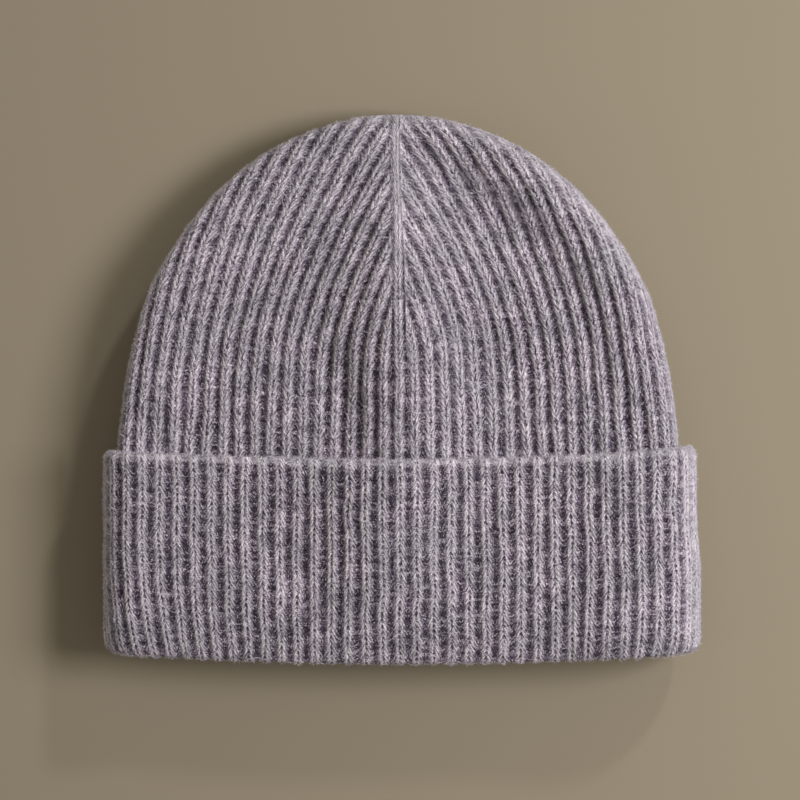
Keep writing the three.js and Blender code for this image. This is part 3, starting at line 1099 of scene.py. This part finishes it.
front_ribs = (1 - QUARTER, QUARTER)
back_ribs = (QUARTER, 3 * QUARTER + 1)
knitted = []
for name, make_piece, ribs, offsets, fabric, knit, fibres, lowest in (
    ("crown_front", crown_piece, front_ribs, FINE_COLUMNS, crown_wool, CROWN_KNIT, 30000, CUFF_TOP - 2),
    ("crown_back", crown_piece, back_ribs, PLAIN_COLUMNS, crown_wool, CROWN_KNIT, 3000, CUFF_TOP - 2),
    ("cuff_front", cuff_piece, front_ribs, FINE_COLUMNS, cuff_wool, CUFF_KNIT, 26000, -np.inf),
    ("cuff_back", cuff_piece, back_ribs, PLAIN_COLUMNS, cuff_wool, CUFF_KNIT, 3000, -np.inf),
):
    node = name.split("_")[0]
    mesh, grid = make_piece(name, *ribs, offsets)
    add_piece(mesh, fabric, node)
    knitted.append((node, name + "_fuzz", grid, knit, fibres, lowest))
for node, *fuzz in knitted:
    add_piece(fuzz_piece(*fuzz), loose_wool, node)


# The floor, the light and the camera

# PICTURE_WIDTH is how much the picture shows at the height of the hat's outline, in millimetres.
PICTURE_WIDTH = 296.3
PICTURE_MIDDLE = (0.0, -3.5)
OUTLINE_HEIGHT = 14.0
CAMERA_HEIGHT = 1200.0
FLOOR_REACH = 3000.0
FLOOR_DROP = 0.2
FLOOR_COLOUR = (0.222, 0.189, 0.134)
SKY_COLOUR = (1.0, 0.945, 0.84)
SKY_STRENGTH = 0.34

floor_mesh = bpy.data.meshes.new("floor")
floor_edge = FLOOR_REACH * MM
floor_corners = [(-1, -1), (1, -1), (1, 1), (-1, 1)]
floor_mesh.from_pydata([(x * floor_edge, y * floor_edge, 0) for x, y in floor_corners], [], [(0, 1, 2, 3)])
floor = bpy.data.objects.new("floor", floor_mesh)
floor.location.z = -FLOOR_DROP * MM
bpy.context.scene.collection.objects.link(floor)
floor_mesh.materials.append(plain_material("pale taupe floor", FLOOR_COLOUR, 0.9))


def area_light(name, place, size, energy, colour):
    """A square light that points at the origin. place and size are metres."""
    light = bpy.data.lights.new(name, "AREA")
    light.size = size
    light.energy = energy
    light.color = colour
    lamp = bpy.data.objects.new(name, light)
    lamp.location = place
    lamp.rotation_euler = (-Vector(place)).to_track_quat("-Z", "Y").to_euler()
    bpy.context.scene.collection.objects.link(lamp)


# The key light comes from the right, the upper one throws the faint long shadow, and the fill lifts the left.
area_light("key", (0.70, 0.062, 0.735), size=0.40, energy=11.6, colour=(1.0, 0.985, 1.015))
area_light("upper light", (1.14, 1.94, 1.28), size=0.2, energy=21.5, colour=(1.0, 0.99, 1.0))
area_light("low fill", (-1.3, -0.1, 0.30), size=0.6, energy=2.9, colour=(1.0, 0.96, 0.88))
world = bpy.data.worlds.new("studio")
world.use_nodes = True
background = world.node_tree.nodes["Background"]
background.inputs["Color"].default_value = (*SKY_COLOUR, 1)
background.inputs["Strength"].default_value = SKY_STRENGTH
bpy.context.scene.world = world

camera_data = bpy.data.cameras.new("camera")
camera = bpy.data.objects.new("camera", camera_data)
camera.location = Vector((*PICTURE_MIDDLE, CAMERA_HEIGHT)) * MM
camera_data.lens = camera_data.sensor_width * (CAMERA_HEIGHT - OUTLINE_HEIGHT) / PICTURE_WIDTH
bpy.context.scene.collection.objects.link(camera)
bpy.context.scene.camera = camera
bpy.context.scene.view_settings.view_transform = "Standard"
